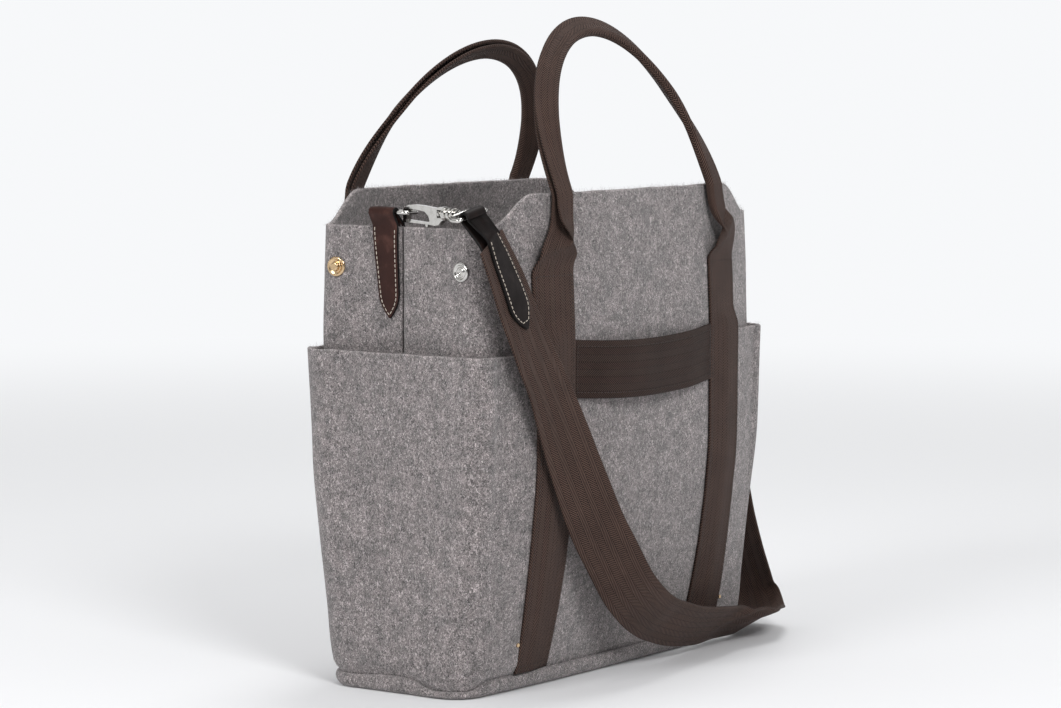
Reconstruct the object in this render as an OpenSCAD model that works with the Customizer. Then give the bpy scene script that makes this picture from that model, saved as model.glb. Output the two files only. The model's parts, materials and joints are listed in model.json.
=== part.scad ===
// Felt knitting bag: an open-topped tote of thick felt with webbing handles that swing,
// two end pockets, a loose front band and a clip-on webbing shoulder strap.
// X runs along the wide faces, the front faces -Y, and Z is up from the floor.

/* [Felt body] */
// Thickness of the felt
felt_t = 3; // [2:0.5:4]
// Half length of the body at the base
base_half_len = 162; // [152:1:168]
// Half length of the body at the rim corners
rim_half_len = 161; // [154:1:168]
// How far each end panel is drawn in at its seam
end_dish = 4; // [0:0.5:5]
// Half depth of the belly, at the middle of a wide face
belly_half_depth = 82; // [78:1:86]
// How far the wide faces tuck in at the base
base_tuck = 27; // [20:1:30]
// How far the wide faces lean in at the rim
rim_tuck = 4; // [0:0.5:6]
// Height of the wide faces at the rim
face_h = 320; // [310:1:330]
// Height of the lower rim at the ends
end_h = 299; // [292:1:304]

/* [Base] */
// Height of the felt roll round the base
base_h = 11; // [9:1:14]
// How far the roll stands out from the body's outline
base_out = 6; // [5:0.5:8]

/* [End pockets] */
// Height of the pocket mouths
pocket_h = 219; // [205:1:228]
// Mouth gap at the body's corners
corner_gap = 6; // [3:0.5:8]
// Mouth gap at the middle of the end
middle_gap = 10; // [8:0.5:12]

/* [Webbing] */
// Width of the webbing
web_w = 38; // [36:0.5:40]
// Thickness of the webbing
web_t = 2; // [1.4:0.1:2.4]
// Half distance between the inner edges of the two sewn straps of a face
strap_half_gap = 80.6; // [76:0.2:84]
// Height of the band's centre
band_z = 206.5; // [190:0.5:212]
// How far the middle of the band sags
band_sag = 3.5; // [0:0.5:6]
// How far the middle of the band stands off the felt
band_gap = 7; // [6:0.5:9]

/* [Handles] */
// Height of the fold line that a handle swings about
hinge_z = 270; // [262:1:276]
// Width of the folded grip
grip_w = 17; // [14:0.5:20]
// Thickness of the folded grip
grip_t = 6.5; // [5:0.5:8]
// Half width of the front arch
front_arch = 90; // [84:1:94]
// Height of the front arch above the rim
front_rise = 106; // [90:1:115]
// How far the front arch leans inwards for each millimetre of rise
front_lean = 0.41; // [0.3:0.01:0.44]
// Half width of the rear arch
rear_arch = 93; // [84:1:95]
// Height of the rear arch above the rim
rear_rise = 91; // [80:1:110]
// How far the rear arch leans inwards for each millimetre of rise
rear_lean = 0.43; // [0.3:0.01:0.44]

/* [Leather and metal] */
// Thickness of the leather
leather_t = 1.8; // [1.4:0.1:2]
// Width of a tab at its loop
tab_w = 22; // [20:0.5:23]
// Width of the leather at each end of the shoulder strap
strap_end_w = 21; // [18:0.5:21.5]
// Radius of the ring's wire
ring_wire = 1.3; // [1.1:0.1:1.4]
// Radius of a snap's rim
snap_r = 6.4; // [5.8:0.1:6.6]

/* [Hidden] */

FELT = [0.51, 0.49, 0.47];
WEBBING = [0.27, 0.21, 0.19];
TAN = [0.30, 0.17, 0.14];
DARK = [0.16, 0.13, 0.13];
NICKEL = [0.80, 0.80, 0.81];
BRASS = [0.78, 0.64, 0.38];

CLEAR = 0.3;               // air between sewn layers
FACE_STEPS = 10;           // grid steps over half of a wide face
CORNER_STEPS = 5;          // grid steps round a corner
END_STEPS = 3;             // grid steps over half of an end

// ---- small maths ----
function mix(a, b, k) = a + (b - a) * k;
function smooth(k) = let (c = min(max(k, 0), 1)) c * c * (3 - 2 * c);
function unit(v) = v / norm(v);

// ---- the body's outline at a height ----
// u runs along the front half: 0 is mid face, 1 the corner's start, 2 its end, 3 the end seam
function half_len(z) = mix(base_half_len, rim_half_len, smooth(z / 200));
function corner_r(z) = mix(18, 10, smooth(z / 120));
function mid_depth(z) = belly_half_depth - base_tuck * pow(max(0, 1 - z / 150), 1.6)
    - rim_tuck * pow(max(0, (z - 220) / 100), 1.5);
function face_drop(z) = mix(4, 15, smooth(z / 120));
function plan_pos(u, z) =
    let (
        r = corner_r(z),
        len = half_len(z) - r,
        drop = face_drop(z),
        start_y = mid_depth(z) - drop,
        corner_y = start_y - 3 * drop / len * r,
        end_y = corner_y - r,
        k = u - 1,
        e = u - 2,
        dish = end_dish * smooth(z / 160)
    )
    u <= 1 ? [len * u, -(mid_depth(z) - drop * pow(abs(u), 3))]
    : u <= 2 ? pow(1 - k, 2) * [len, -start_y] + 2 * k * (1 - k) * [len + r, -corner_y]
        + k * k * [len + r, -end_y]
    : [len + r - dish * (1 - pow(1 - e, 2)), -end_y * (1 - e)];
function plan(u, z) = let (p = plan_pos(abs(u), z)) [u < 0 ? -p.x : p.x, p.y];
function plan_normal(u, z) = let (t = plan(u + 0.01, z) - plan(u - 0.01, z)) unit([t.y, -t.x]);
function skin(u, z, out) = let (p = plan(u, z) + out * plan_normal(u, z)) [p.x, p.y, z];
// the u of a place on the wide face, from its x
function face_u(x, z) = x / (half_len(z) - corner_r(z));

// rim height: high over the wide faces, dropping in a curve to the ends
function rim_z(u) = let (x = abs(plan(u, 310).x)) mix(end_h, face_h, smooth((153 - x) / 40));

function steps(n, a, b) = [for (i = [1:n]) mix(a, b, i / n)];
HALF_US = concat(steps(FACE_STEPS, 0, 1), steps(CORNER_STEPS, 1, 2), steps(END_STEPS, 2, 3));
BODY_US = concat([for (i = [len(HALF_US) - 1:-1:0]) -HALF_US[i]], [0], HALF_US);
BODY_ROWS = 13;

// ---- closed solids from grids of points ----
// Two equal grids, rows going up and columns going +X with the front grid at -Y.
module slab(front, back) {
    rows = len(front);
    cols = len(front[0]);
    half = rows * cols;
    pts = [for (g = [front, back]) for (r = g) for (p = r) p];
    function at(g, j, i) = g * half + j * cols + i;
    function quad(a, b, c, d) = [[a, b, c], [a, c, d]];
    polyhedron(pts, [
        for (j = [0:rows - 2]) for (i = [0:cols - 2])
            each quad(at(0, j, i), at(0, j + 1, i), at(0, j + 1, i + 1), at(0, j, i + 1)),
        for (j = [0:rows - 2]) for (i = [0:cols - 2])
            each quad(at(1, j, i), at(1, j, i + 1), at(1, j + 1, i + 1), at(1, j + 1, i)),
        for (i = [0:cols - 2])
            each quad(at(0, 0, i), at(0, 0, i + 1), at(1, 0, i + 1), at(1, 0, i)),
        for (i = [0:cols - 2]) each quad(at(0, rows - 1, i), at(1, rows - 1, i),
            at(1, rows - 1, i + 1), at(0, rows - 1, i + 1)),
        for (j = [0:rows - 2])
            each quad(at(0, j, 0), at(1, j, 0), at(1, j + 1, 0), at(0, j + 1, 0)),
        for (j = [0:rows - 2]) each quad(at(0, j, cols - 1), at(0, j + 1, cols - 1),
            at(1, j + 1, cols - 1), at(1, j, cols - 1))
    ], convexity = 10);
}

// A strip swept along frames [centre, width direction, normal, width, thickness].
SIDES = 8;
module sweep(frames) {
    n = len(frames);
    function sharp(v) = sign(v) * pow(abs(v), 0.55);
    function ring(f) = [for (k = [0:SIDES - 1]) let (a = 360 * (k + 0.5) / SIDES)
        f[0] + f[1] * f[3] / 2 * sharp(cos(a)) + f[2] * f[4] / 2 * sharp(sin(a))];
    polyhedron([for (f = frames) each ring(f)], [
        for (j = [0:n - 2]) for (k = [0:SIDES - 1])
            let (m = (k + 1) % SIDES, a = j * SIDES, b = a + SIDES)
            each [[a + k, a + m, b + m], [a + k, b + m, b + k]],
        [for (k = [SIDES - 1:-1:0]) k],
        [for (k = [0:SIDES - 1]) (n - 1) * SIDES + k]
    ], convexity = 10);
}

// ---- felt ----
module half_body() {
    function grid(out) = [for (j = [0:BODY_ROWS]) [for (u = BODY_US)
        let (p = skin(u, mix(felt_t + CLEAR, rim_z(u), j / BODY_ROWS), out))
        [p.x, min(p.y, -CLEAR / 3), p.z]]];
    slab(grid(0), grid(-felt_t));
}
module body_front_half() {
    color(FELT) half_body();
}
module body_rear_half() {
    color(FELT) mirror([0, 1, 0]) half_body();
}

// the base: a felt floor with a soft roll standing up round the body and the pockets
function base_inner(u) = u > 0.65 ? felt_t + 3 * CLEAR : CLEAR + 0.1;
function base_loop(z, out) =
    let (half = [for (u = BODY_US) skin(u, z, out < 0 ? base_inner(abs(u)) : out)])
    [for (s = [1, -1]) for (i = [0:len(half) - 2])
        let (p = half[i]) [s * p.x, s * min(p.y, 0), z]];
module base_tray() {
    hug = -1;              // marks the loops that follow the body and the pockets
    loops = [base_loop(0, base_out - 1.6), base_loop(2.2, base_out - 0.2),
        base_loop(5.5, base_out), base_loop(base_h - 1.6, base_out - 0.6),
        base_loop(base_h, base_out - 1.6), base_loop(base_h - 0.3, hug), base_loop(felt_t, hug)];
    n = len(loops[0]);
    m = len(loops);
    color(FELT) polyhedron([for (l = loops) each l, [0, 0, 0], [0, 0, felt_t]], [
        for (i = [0:n - 1]) each [[m * n, i, (i + 1) % n],
            [m * n + 1, (m - 1) * n + (i + 1) % n, (m - 1) * n + i]],
        for (j = [0:m - 2]) for (i = [0:n - 1])
            let (k = (i + 1) % n, a = j * n, b = a + n)
            each [[a + i, b + i, b + k], [a + i, b + k, a + k]]
    ], convexity = 6);
}

// ---- end pockets ----
POCKET_EDGE_X = 106.5;     // where a pocket's felt ends, under the sewn strap
POCKET_ROWS = 9;
function pocket_gap(u, z) =
    let (
        strap_u = face_u(strap_half_gap + web_w + 3, z),
        off_strap = smooth((u - strap_u) / (1.3 - strap_u)),
        to_middle = smooth(u - 2),
        flare = pow(z / pocket_h, 1.5)
    )
    CLEAR + flare * (corner_gap * off_strap + (middle_gap - corner_gap) * to_middle);
function pocket_row(z, out) =
    let (
        first = face_u(POCKET_EDGE_X, z),
        us = concat([first], steps(3, first, 1), steps(CORNER_STEPS, 1, 2), steps(END_STEPS, 2, 3)),
        last = len(us) - 1,
        half = [for (u = us) skin(-u, z, pocket_gap(u, z) + out)]
    )
    concat([for (p = half) [p.x, -p.y, p.z]], [for (i = [last - 1:-1:0]) half[i]]);
module end_pocket() {
    function grid(out) = [for (j = [0:POCKET_ROWS])
        pocket_row(mix(felt_t + CLEAR, pocket_h, j / POCKET_ROWS), out)];
    slab(grid(felt_t), grid(0));
}
module left_end_pocket() {
    color(FELT) end_pocket();
}
module right_end_pocket() {
    color(FELT) mirror([1, 0, 0]) end_pocket();
}

// ---- webbing sewn to the body ----
STRAP_MID = strap_half_gap + web_w / 2;
STRAP_END_GAP = 4;         // bare hinge line between a sewn strap and its handle
STRAP_TOP = hinge_z - STRAP_END_GAP;
STRAP_ZS = concat([base_h + CLEAR], steps(14, base_h + CLEAR, pocket_h + 2),
    [pocket_h + 5.5, pocket_h + 9], steps(4, pocket_h + 9, STRAP_TOP));
function over_pocket(x, z) = smooth((x - POCKET_EDGE_X + 9) / 8) * smooth((pocket_h + 9 - z) / 7);
function on_face(x, z, out) = skin(face_u(x, z), z, out);
module sewn_strap() {
    function grid(out) = [for (z = STRAP_ZS)
        [for (i = [0:6]) let (x = strap_half_gap + web_w * i / 6)
            on_face(x, z, CLEAR + (felt_t + CLEAR) * over_pocket(x, z) + out)]];
    color(WEBBING) slab(grid(web_t), grid(0));
}
module front_left_strap() {
    mirror([1, 0, 0]) sewn_strap();
}
module front_right_strap() {
    sewn_strap();
}
module rear_left_strap() {
    mirror([0, 1, 0]) mirror([1, 0, 0]) sewn_strap();
}
module rear_right_strap() {
    mirror([0, 1, 0]) sewn_strap();
}

// the band across the front, sewn at its ends and standing off in the middle
BAND_STEPS = 18;
module front_band() {
    half = strap_half_gap - CLEAR;
    function grid(out) = [for (e = [-1:1]) [for (i = [-BAND_STEPS / 2:BAND_STEPS / 2])
        let (
            x = half * i / (BAND_STEPS / 2),
            bow = 1 - pow(x / half, 2),
            z = band_z - band_sag * bow + e * web_w / 2
        )
        on_face(x, z, CLEAR + band_gap * smooth(bow) + out)]];
    color(WEBBING) slab(grid(web_t), grid(0));
}

// ---- handles ----
LEG = 0.4;                 // share of each half of a handle that is leg, below the rim
LEG_FACE = 82;             // the grip's facing on a leg, 90 being straight out from the face
ARCH_FACE = 38;            // and over the arch
HANDLE_RINGS = 27;         // rings over half of a handle
function handle_pos(s, arch, rise, lean, shift, twist_x) =
    let (
        side = sign(s),
        k = (1 - abs(s)) / LEG,
        angle = 90 * abs(s) / (1 - LEG),
        leg_z = mix(hinge_z, face_h, k),
        leg_x = side * mix(STRAP_MID, arch, smooth(k)) + shift * smooth(k),
        foot_x = arch - abs(shift),
        off = CLEAR + mix(web_t / 2, grip_t / 2 + 1, smooth(k / 0.5)),
        arch_z = face_h + rise * cos(angle),
        arch_x = side * arch * sin(angle) + mix(shift, twist_x, cos(angle))
    )
    k <= 1 ? [leg_x, on_face(mix(STRAP_MID, foot_x, smooth(k)), leg_z, 0).y - off, leg_z]
    : [arch_x, on_face(foot_x, face_h, 0).y - CLEAR - grip_t / 2 - 1 + lean * (arch_z - face_h),
        arch_z];
function handle_frame(s, arch, rise, lean, shift, twist_x) =
    let (
        c = handle_pos(s, arch, rise, lean, shift, twist_x),
        e = 0.002,
        t = unit(handle_pos(min(s + e, 1), arch, rise, lean, shift, twist_x)
            - handle_pos(max(s - e, -1), arch, rise, lean, shift, twist_x)),
        front = unit([0, -1, 0] + t.y * t),
        facing = mix(LEG_FACE, ARCH_FACE, smooth((1 - LEG - abs(s)) / 0.25)),
        n = cos(facing) * cross(front, t) + sin(facing) * front,
        fold = smooth(((1 - abs(s)) / LEG - 0.08) / 0.36)
    )
    [c, cross(t, n), n, mix(web_w, grip_w, fold), mix(web_t, grip_t, fold)];
module front_handle() {
    color(WEBBING) sweep([for (i = [-HANDLE_RINGS:HANDLE_RINGS])
        handle_frame(i / HANDLE_RINGS, front_arch, front_rise, front_lean, -2, -1)]);
}
module rear_handle() {
    color(WEBBING) mirror([0, 1, 0]) sweep([for (i = [-HANDLE_RINGS:HANDLE_RINGS])
        handle_frame(i / HANDLE_RINGS, rear_arch, rear_rise, rear_lean, -10, -4)]);
}

// ---- leather tab over the end rim, and its ring ----
RING_Z = 308;              // height of the bar that lies in the tab's loop
RING_X = 160.5;            // and its distance from the middle
RING_HANG = 65;            // the left ring lies level and the right one hangs this much
RING_GAP = 13;             // between the ring's two long bars
RING_ENDS = [-6.2, 24.3];  // y of the ring's ends, at the middle of the wire
RING_BEND = 3.2;           // radius of its corners
LOOP_R = ring_wire + CLEAR + leather_t / 2;
TAB_Y = [8, 11.5];         // the tab's middle at its point and at its loop
TAB_POINT_Z = 240;         // height of the outer point
TAB_BACK_Z = 276;          // height of the inner end
// a closed loop of round wire in a level plane; bends holds the corner radii at y[0] and y[1]
module wire_loop(x, y, bends, r) {
    for (j = [0, 1]) {
        b = bends[j];
        translate([x[0] + b, y[j], 0]) rotate([0, 90, 0])
            cylinder(r = r, h = x[1] - x[0] - 2 * b, $fn = 32);
        translate([x[j], y[0] + bends[0], 0]) rotate([-90, 0, 0])
            cylinder(r = r, h = y[1] - y[0] - bends[0] - bends[1], $fn = 32);
        for (i = [0, 1])
            translate([i == 1 ? x[1] - b : x[0] + b, j == 1 ? y[1] - b : y[0] + b, 0])
                rotate([0, 0, j == 1 ? (i == 1 ? 0 : 90) : (i == 1 ? 270 : 180)])
                    rotate_extrude(angle = 90, $fn = 32)
                        translate([b, 0]) circle(r = r, $fn = 32);
    }
}
module ring_shape(x, hang) {
    translate([x, 0, RING_Z]) rotate([0, hang, 0])
        wire_loop([0, RING_GAP], RING_ENDS, [RING_BEND, RING_BEND], ring_wire);
}
module left_ring() {
    color(NICKEL) ring_shape(-RING_X, 0);
}
module right_ring() {
    color(NICKEL) ring_shape(RING_X, RING_HANG);
}
function tab_width(z) = let (k = (z - TAB_POINT_Z) / (end_h - TAB_POINT_Z))
    mix(13, tab_w, smooth(k)) * sqrt(min(1, (z - TAB_POINT_Z) / 14));
module left_tab_shape() {
    wall_x = plan(-2.8, 290).x;
    outer_x = wall_x - CLEAR - leather_t / 2 - 0.3;
    inner_x = wall_x + felt_t + CLEAR + leather_t / 2 + 1.2;
    loop = [for (a = [200:-20:-40]) [-RING_X + LOOP_R * cos(a), RING_Z + LOOP_R * sin(a)]];
    path = concat(
        [for (z = [TAB_POINT_Z + 0.4, 241.5, 244, 248, 252, 260, 270, 282, 294, 300])
            [outer_x, z]],
        loop,
        [for (z = [300, 296, 290, 283, TAB_BACK_Z]) [inner_x, z]]
    );
    last = len(path) - 1;
    sweep([for (i = [0:last])
        let (
            p = path[i],
            d = unit(path[min(i + 1, last)] - path[max(i - 1, 0)]),
            k = smooth((min(p.y, end_h) - TAB_POINT_Z) / (end_h - TAB_POINT_Z)),
            w = i < 10 ? tab_width(p.y) : tab_w
        )
        [[p.x, mix(TAB_Y[0], TAB_Y[1], k), p.y], [0, -1, 0], [-d.y, 0, d.x], w, leather_t]]);
}
module left_tab() {
    color(TAN) left_tab_shape();
}
module right_tab() {
    color(TAN) mirror([1, 0, 0]) left_tab_shape();
}

// ---- trigger clasp ----
// Drawn lying along -Y with its spine up. The left one lies along the rim, turned outwards to
// the strap; the right one hangs down outside the end with its spine inwards.
LEFT_AT = [-154.6, RING_ENDS[0], RING_Z];      // the wire that each hook holds
RIGHT_AT = [RING_X + RING_GAP * cos(RING_HANG), 9, RING_Z - RING_GAP * sin(RING_HANG)];
LEFT_TURN = -9;
RIGHT_LEAN = -7;
THROAT_Y = -4.2;           // where the wire lies in the hook
HOOK_T = 4;                // thickness of the cast hook
SWIVEL_Z = 2;              // height of the swivel's axis in the clasp's own frame
POST_R = 1.5;              // the eye's post, which turns in the hook's barrel
POST_FIT = 0.05;
EYE_TILT = 14;             // the left eye's roll, its outer side lower
PIVOT = [-25, -3.2];       // the gate's pin
module clasp_place(right) {
    if (right)
        translate(RIGHT_AT) rotate([0, RIGHT_LEAN, 0]) rotate([90, 0, -90])
            translate([0, -THROAT_Y, -SWIVEL_Z]) children();
    else
        translate(LEFT_AT) rotate([0, 0, LEFT_TURN])
            translate([0, -THROAT_Y, -SWIVEL_Z]) children();
}
function clasp_dir(v, right) = right
    ? let (c = cos(RIGHT_LEAN), s = sin(RIGHT_LEAN)) [-v.z * c + v.y * s, -v.x, v.z * s + v.y * c]
    : let (c = cos(LEFT_TURN), s = sin(LEFT_TURN)) [v.x * c - v.y * s, v.x * s + v.y * c, v.z];
function clasp_point(p, right) = (right ? RIGHT_AT : LEFT_AT)
    + clasp_dir(p - [0, THROAT_Y, SWIVEL_Z], right);
// outlines are drawn as [along, up] and stood up in the YZ plane, centred on x = 0
module upright(t) {
    translate([-t / 2, 0, 0]) rotate([90, 0, 90]) linear_extrude(t) children();
}
module along_y(y, z, r, h) {
    translate([0, y, z]) rotate([90, 0, 0]) cylinder(r = r, h = h, $fn = 40);
}
module hook_outline() {
    polygon([
        [1.4, -4.4], [1.7, 0], [1.5, 3.4], [0, 5.6], [-3.2, 6.9], [-8, 7.3], [-16, 7],
        [-24, 6], [-29, 5.6], [-32, 6.6], [-35.5, 6.6], [-36, 5.5], [-36, -1.5],
        [-33, -2.6], [-31, -4.8], [-27, -5.6], [-23.6, -5], [-22.6, -2.5], [-21.5, 0.5],
        [-18, 3.2], [-10, 4.2], [-5.5, 4.4], [-3, 3.8], [-1.9, 2.2], [-1.9, -4.4]
    ]);
}
module clasp_hook_shape() {
    difference() {
        union() {
            upright(HOOK_T) hook_outline();
            along_y(-34.5, SWIVEL_Z, 4.2, 3);
            along_y(-37.4, SWIVEL_Z, 3.4, 2.2);
            along_y(-39.5, SWIVEL_Z, 4.2, 1.6);
            along_y(-41, SWIVEL_Z, 3.4, 2);
            along_y(-42.9, SWIVEL_Z, 4, 1.6);
        }
        along_y(-30, SWIVEL_Z, POST_R + POST_FIT, 20);
        translate([0, -31.4, SWIVEL_Z]) cube([10, 4.2, 5.2], center = true);
        translate([0, PIVOT[0] - 0.5, PIVOT[1] - 1]) cube([2.4, 6.4, 6.4], center = true);
        translate([-5, PIVOT[0], PIVOT[1]]) rotate([0, 90, 0]) cylinder(r = 0.6, h = 10, $fn = 24);
    }
}
module clasp_gate_shape() {
    difference() {
        union() {
            translate([-1.05, PIVOT[0], PIVOT[1]]) rotate([0, 90, 0])
                cylinder(r = 1.5, h = 1.1, $fn = 32);
            translate([-1.05, 0, 0]) rotate([90, 0, 90]) linear_extrude(1.1)
                polygon([[-25, -4.6], [-23, -5.2], [-3, -4.2], [-2.4, -4], [-2.4, -2.2],
                    [-3.4, -2.4], [-20, -3.6], [-23.5, -2]]);
            translate([0.05, 0, 0]) rotate([90, 0, 90]) linear_extrude(1)
                polygon([[-21.5, -5.1], [-3, -4.2], [-2.4, -4], [-2.4, -2.2], [-3.4, -2.4],
                    [-20, -3.6], [-21.5, -3.9]]);
            translate([-1.05, -19, -5.6]) rotate([0, 90, 0]) cylinder(r = 1.1, h = 2.1, $fn = 24);
        }
        translate([-5, PIVOT[0], PIVOT[1]]) rotate([0, 90, 0])
            cylinder(r = 0.65, h = 10, $fn = 24);
    }
}
module clasp_pin_shape() {
    translate([-HOOK_T / 2, PIVOT[0], PIVOT[1]]) rotate([0, 90, 0])
        cylinder(r = 0.6, h = HOOK_T, $fn = 24);
}
module clasp_spring_shape() {
    translate([0.15, PIVOT[0], PIVOT[1]]) rotate([0, 90, 0]) difference() {
        cylinder(r = 1.15, h = 0.9, $fn = 24);
        translate([0, 0, -1]) cylinder(r = 0.75, h = 3, $fn = 24);
    }
}
EYE_HALF = 12.6;           // half length of the eye's bar
EYE_ENDS = [-59.5, -47.5]; // its bar, and the side that meets the post
EYE_BENDS = [1.8, 8];      // radii of its corners
EYE_WIRE = 1.5;
module clasp_eye_shape(tilt) {
    along_y(-29.7, SWIVEL_Z, 2.3, 1.2);
    along_y(-30.5, SWIVEL_Z, POST_R, 16.5);
    along_y(-44.9, SWIVEL_Z, 3, 2);
    translate([0, 0, SWIVEL_Z]) rotate([0, -tilt, 0])
        wire_loop([-EYE_HALF, EYE_HALF], EYE_ENDS, EYE_BENDS, EYE_WIRE);
}
module left_clasp_hook() {
    color(NICKEL) clasp_place(false) clasp_hook_shape();
}
module left_clasp_gate() {
    color(NICKEL) clasp_place(false) clasp_gate_shape();
}
module left_clasp_pin() {
    color(NICKEL) clasp_place(false) clasp_pin_shape();
}
module left_clasp_spring() {
    color(NICKEL) clasp_place(false) clasp_spring_shape();
}
module left_clasp_eye() {
    color(NICKEL) clasp_place(false) clasp_eye_shape(EYE_TILT);
}
module right_clasp_hook() {
    color(NICKEL) clasp_place(true) clasp_hook_shape();
}
module right_clasp_gate() {
    color(NICKEL) clasp_place(true) clasp_gate_shape();
}
module right_clasp_pin() {
    color(NICKEL) clasp_place(true) clasp_pin_shape();
}
module right_clasp_spring() {
    color(NICKEL) clasp_place(true) clasp_spring_shape();
}
module right_clasp_eye() {
    color(NICKEL) clasp_place(true) clasp_eye_shape(0);
}

// ---- shoulder strap ----
// Route from the left clasp down across the front, round the far corner and up outside the
// right pocket to its clasp, each point with the direction of the webbing's width there.
ROUTE = [
    [[-164, -73, 297], [0.97, 0.2, 0.12]], [[-156, -76, 279], [0.99, 0.1, 0]],
    [[-148, -79, 261], [1, 0, -0.05]], [[-141, -82, 242], [0.99, -0.05, -0.08]],
    [[-133, -85.5, 222], [0.99, -0.08, -0.1]], [[-122, -88, 202], [0.98, -0.1, -0.1]],
    [[-112, -90, 180], [0.96, -0.2, -0.08]], [[-102, -92, 157], [0.93, -0.35, -0.03]],
    [[-91, -95, 131], [0.88, -0.47, 0.05]], [[-78, -97, 106], [0.8, -0.58, 0.15]],
    [[-63, -99, 84], [0.72, -0.62, 0.3]], [[-46, -100, 62], [0.6, -0.64, 0.48]],
    [[-27, -99, 47], [0.42, -0.64, 0.64]], [[-10, -97, 38], [0.25, -0.64, 0.72]],
    [[8, -94, 32], [0.15, -0.64, 0.75]], [[38, -91, 24], [0.1, -0.65, 0.75]],
    [[72, -87, 19], [0.08, -0.67, 0.74]], [[108, -80, 16], [0.04, -0.74, 0.67]],
    [[142, -80, 13], [0, -0.83, 0.56]], [[170, -68, 11], [-0.1, -0.93, 0.35]],
    [[191, -54, 11], [-0.1, -0.98, 0.12]], [[202, -44, 20], [-0.05, -1, 0]],
    [[200, -40, 36], [0, -1, 0]], [[187, -41, 58], [0, -1, 0]],
    [[175, -41, 82], [0, -1, 0.1]], [[171, -38, 106], [0, -0.97, 0.2]],
    [[170, -31, 132], [0, -0.93, 0.36]], [[171.5, -19, 160], [0, -0.91, 0.42]],
    [[173, -6, 188], [0, -0.92, 0.38]], [[174.5, 4, 211], [0, -0.96, 0.25]],
    [[174, 8.5, 230], [0, -1, 0.05]]
];
LAST = len(ROUTE) - 1;
STRAP_RINGS = 76;
function curve(a, b, c, d, t) = 0.5 * (2 * b + (c - a) * t + (2 * a - 5 * b + 4 * c - d) * t * t
    + (3 * b - a - 3 * c + d) * t * t * t);
function along(part, t) =
    let (i = min(floor(t), LAST - 1), q = [for (n = [-1:2]) ROUTE[min(max(i + n, 0), LAST)][part]])
    curve(q[0], q[1], q[2], q[3], t - i);
function route_pos(t) = along(0, t);
function route_dir(t) = unit(route_pos(min(t + 0.05, LAST)) - route_pos(max(t - 0.05, 0)));
function route_wide(t) = let (w = along(1, t), d = route_dir(t)) unit(w - (w * d) * d);
function route_out(t) = cross(route_dir(t), route_wide(t));
module shoulder_strap() {
    color(WEBBING) sweep([for (i = [0:STRAP_RINGS]) let (t = mix(MEET[0], LAST, i / STRAP_RINGS))
        [route_pos(t), -route_wide(t), route_out(t), web_w, web_t]]);
}

// Leather at each end of the strap: sewn on its outer face, round the eye and behind it.
TONGUE = [3.3, 2.6];       // how far the outer tongue reaches at each end, in route points
MEET = [0.35, 0.1];        // where the inner leaf comes down from the eye
BEHIND = 0.4;              // how far the inner leaf reaches on from there
module strap_end_shape(right) {
    side = right ? -1 : 1;
    tilt = right ? 0 : EYE_TILT;
    tongue = TONGUE[right ? 1 : 0];
    meet = MEET[right ? 1 : 0];
    bar = clasp_point([0, EYE_ENDS[0], SWIVEL_Z], right);
    bar_dir = side * clasp_dir([cos(tilt), 0, sin(tilt)], right);
    up = unit([0, 0, 1] - bar_dir.z * bar_dir);
    out = cross(bar_dir, up);
    r = EYE_WIRE + CLEAR + leather_t / 2;
    off = web_t / 2 + CLEAR + leather_t / 2;
    function at(t) = right ? LAST - t : t;
    outer = [for (i = [0:12]) let (t = mix(tongue, 0.1, i / 12))
        [route_pos(at(t)) + off * route_out(at(t)), side * route_wide(at(t)),
            strap_end_w * sqrt(min(1, (tongue - t + 0.02) / 0.8))]];
    loop = [for (a = [-20:25:230]) [bar + r * (cos(a) * out + sin(a) * up), bar_dir, strap_end_w]];
    inner = [for (t = [meet, meet + BEHIND / 2, meet + BEHIND])
        [route_pos(at(t)) - (off + 0.1) * route_out(at(t)), side * route_wide(at(t)),
            strap_end_w]];
    path = concat(outer, loop, inner);
    last = len(path) - 1;
    sweep([for (i = [0:last])
        let (
            d = unit(path[min(i + 1, last)][0] - path[max(i - 1, 0)][0]),
            w = unit(path[i][1] - (path[i][1] * d) * d)
        )
        [path[i][0], w, cross(w, d), path[i][2], leather_t]]);
}
module left_strap_end() {
    color(DARK) strap_end_shape(false);
}
module right_strap_end() {
    color(DARK) strap_end_shape(true);
}

// ---- press snaps on the ends, and the tacks at the sewn straps ----
SNAP_U = 2.05;             // place round the end, a little inside the corner
SNAP_Z = 272;
TACK_Z = 31;
// children stand on the end's skin, +Z outwards; side is 1 at the front and -1 at the rear
module on_end(end, side, out) {
    p = skin(SNAP_U, SNAP_Z, out);
    n = plan_normal(SNAP_U, SNAP_Z);
    mirror([end < 0 ? 1 : 0, 0, 0]) mirror([0, side < 0 ? 1 : 0, 0])
        translate(p) rotate([0, 90, atan2(n.y, n.x)]) children();
}
module snap_sockets() {
    color(NICKEL) for (end = [-1, 1]) on_end(end, 1, CLEAR) rotate_extrude($fn = 48)
        polygon([[2.1, 0], [snap_r, 0], [snap_r, 0.6], [5.6, 1.3], [4.4, 1.5], [3.9, 1.1],
            [3.4, 1.1], [3, 1.8], [2.5, 1.8], [2.1, 1.2]]);
}
module snap_studs() {
    color(BRASS) for (end = [-1, 1]) on_end(end, -1, CLEAR) rotate_extrude($fn = 48)
        polygon([[0, 0], [snap_r, 0], [snap_r, 0.5], [5.4, 1.2], [2.4, 1.4], [2, 2.2],
            [2.3, 3.4], [1.8, 4], [0, 4]]);
}
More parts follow.
